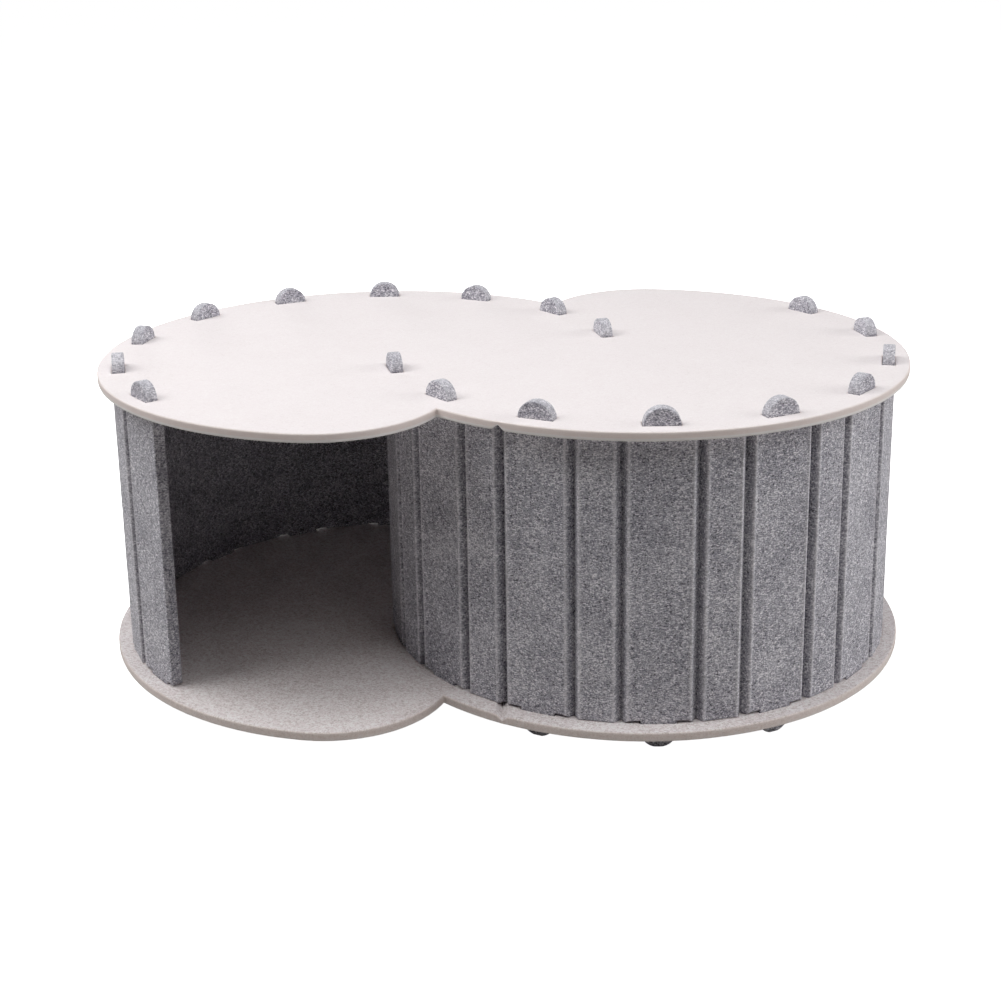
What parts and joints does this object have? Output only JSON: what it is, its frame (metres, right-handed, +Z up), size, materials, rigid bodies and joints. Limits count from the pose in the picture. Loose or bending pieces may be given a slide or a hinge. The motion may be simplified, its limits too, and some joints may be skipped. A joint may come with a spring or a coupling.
{
  "type": "cat tunnel bed",
  "caption": "Low felt cat bed: two rounded figure-eight panels joined by two curved scored walls with tab joints, leaving a winding tunnel with a mouth at each end.",
  "frame": {"origin": "on the floor under the middle of the bed", "axes": "+X along the length of the figure eight, +Y from the front mouth's side to the back mouth's side, +Z up"},
  "size_m": [0.8468, 0.571, 0.3375],
  "materials": {
    "cream_felt": "matte",
    "grey_felt": "matte"
  },
  "bodies": {
    "root": {"base_panel": "cream_felt", "top_panel": "cream_felt", "wall_left": "grey_felt", "wall_right": "grey_felt"}
  },
  "joints": []
}
